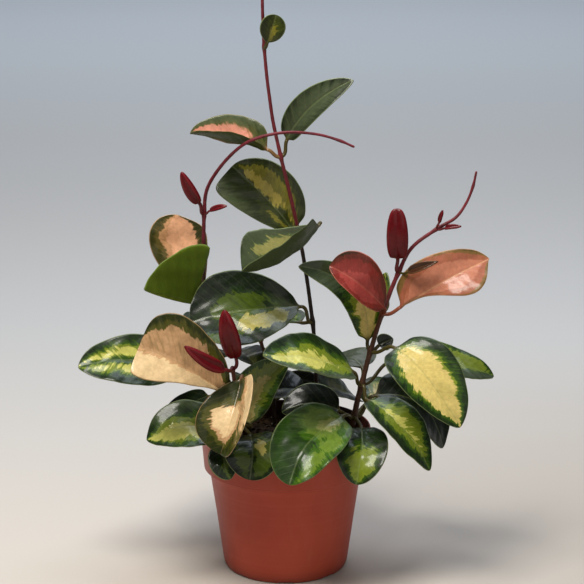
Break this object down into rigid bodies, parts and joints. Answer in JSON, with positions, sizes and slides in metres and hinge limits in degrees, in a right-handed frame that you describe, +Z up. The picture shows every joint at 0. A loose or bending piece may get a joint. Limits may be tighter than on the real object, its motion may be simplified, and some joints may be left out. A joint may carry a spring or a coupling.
{
  "type": "potted wax plant",
  "caption": "Wax plant with thick variegated leaves on twining stems, in a round tapered nursery pot filled with soil.",
  "frame": {"origin": "centre of the pot's underside, on the surface that the pot stands on", "axes": "+Z up along the pot's axis, +X to the right and +Y to the back of the plant as it is seen in the picture"},
  "size_m": [0.2907, 0.1859, 0.4261],
  "materials": {
    "terracotta_plastic": "satin moulded plastic, terracotta brown",
    "soil": "matt, dark moist peat with bark crumbs",
    "stem": "semi-matt red-brown bark",
    "leaf_green": "waxy, satin, mid green with dark margin",
    "leaf_dark": "waxy, satin, dark green",
    "leaf_cream": "waxy, satin, cream and lime centre with green margin",
    "leaf_pink": "waxy, satin, pink with a green margin",
    "leaf_red": "waxy, satin, crimson young leaf"
  },
  "bodies": {
    "root": {"pot": "terracotta_plastic", "soil": "soil", "stem_tall": "stem", "stem_right": "stem", "stem_arch": "stem", "stem_front": "stem", "stem_back": "stem", "leaf_tall_top": "leaf_dark", "leaf_tall_upper_right": "leaf_dark", "leaf_tall_upper_left": "leaf_pink", "leaf_tall_fan": "leaf_dark", "leaf_tall_roll": "leaf_green", "leaf_tall_broad": "leaf_dark", "leaf_tall_middle_back": "leaf_green", "leaf_tall_low_left": "leaf_dark", "leaf_tall_low_back": "leaf_green", "leaf_right_bud": "leaf_red", "leaf_right_young": "leaf_dark", "leaf_right_pink": "leaf_pink", "leaf_right_red": "leaf_red", "leaf_right_upright": "leaf_cream", "leaf_right_slant": "leaf_green", "leaf_right_front": "leaf_cream", "leaf_right_broad": "leaf_cream", "leaf_right_far": "leaf_green", "leaf_right_inner": "leaf_green", "leaf_right_small": "leaf_dark", "leaf_right_low_front": "leaf_green", "leaf_right_low_round": "leaf_green", "leaf_right_low_side": "leaf_green", "leaf_right_low_dark": "leaf_dark", "leaf_right_tip_left": "leaf_red", "leaf_right_tip_right": "leaf_red", "leaf_right_inner_low": "leaf_dark", "leaf_right_low_back": "leaf_green", "leaf_arch_young": "leaf_red", "leaf_arch_bud": "leaf_red", "leaf_arch_pink": "leaf_pink", "leaf_arch_green": "leaf_green", "leaf_arch_side": "leaf_cream", "leaf_arch_low_back": "leaf_green", "leaf_arch_low_side": "leaf_dark", "leaf_arch_back": "leaf_green", "leaf_front_peach": "leaf_cream", "leaf_front_crimson_left": "leaf_red", "leaf_front_crimson_up": "leaf_red", "leaf_front_left": "leaf_green", "leaf_front_middle": "leaf_cream", "leaf_front_inner": "leaf_cream", "leaf_front_low": "leaf_green", "leaf_front_low_left": "leaf_dark", "leaf_back_low": "leaf_dark", "leaf_back_left": "leaf_green", "leaf_back_right": "leaf_green", "leaf_back_back": "leaf_green", "leaf_back_top": "leaf_cream", "leaf_back_tip": "leaf_red"}
  },
  "joints": []
}
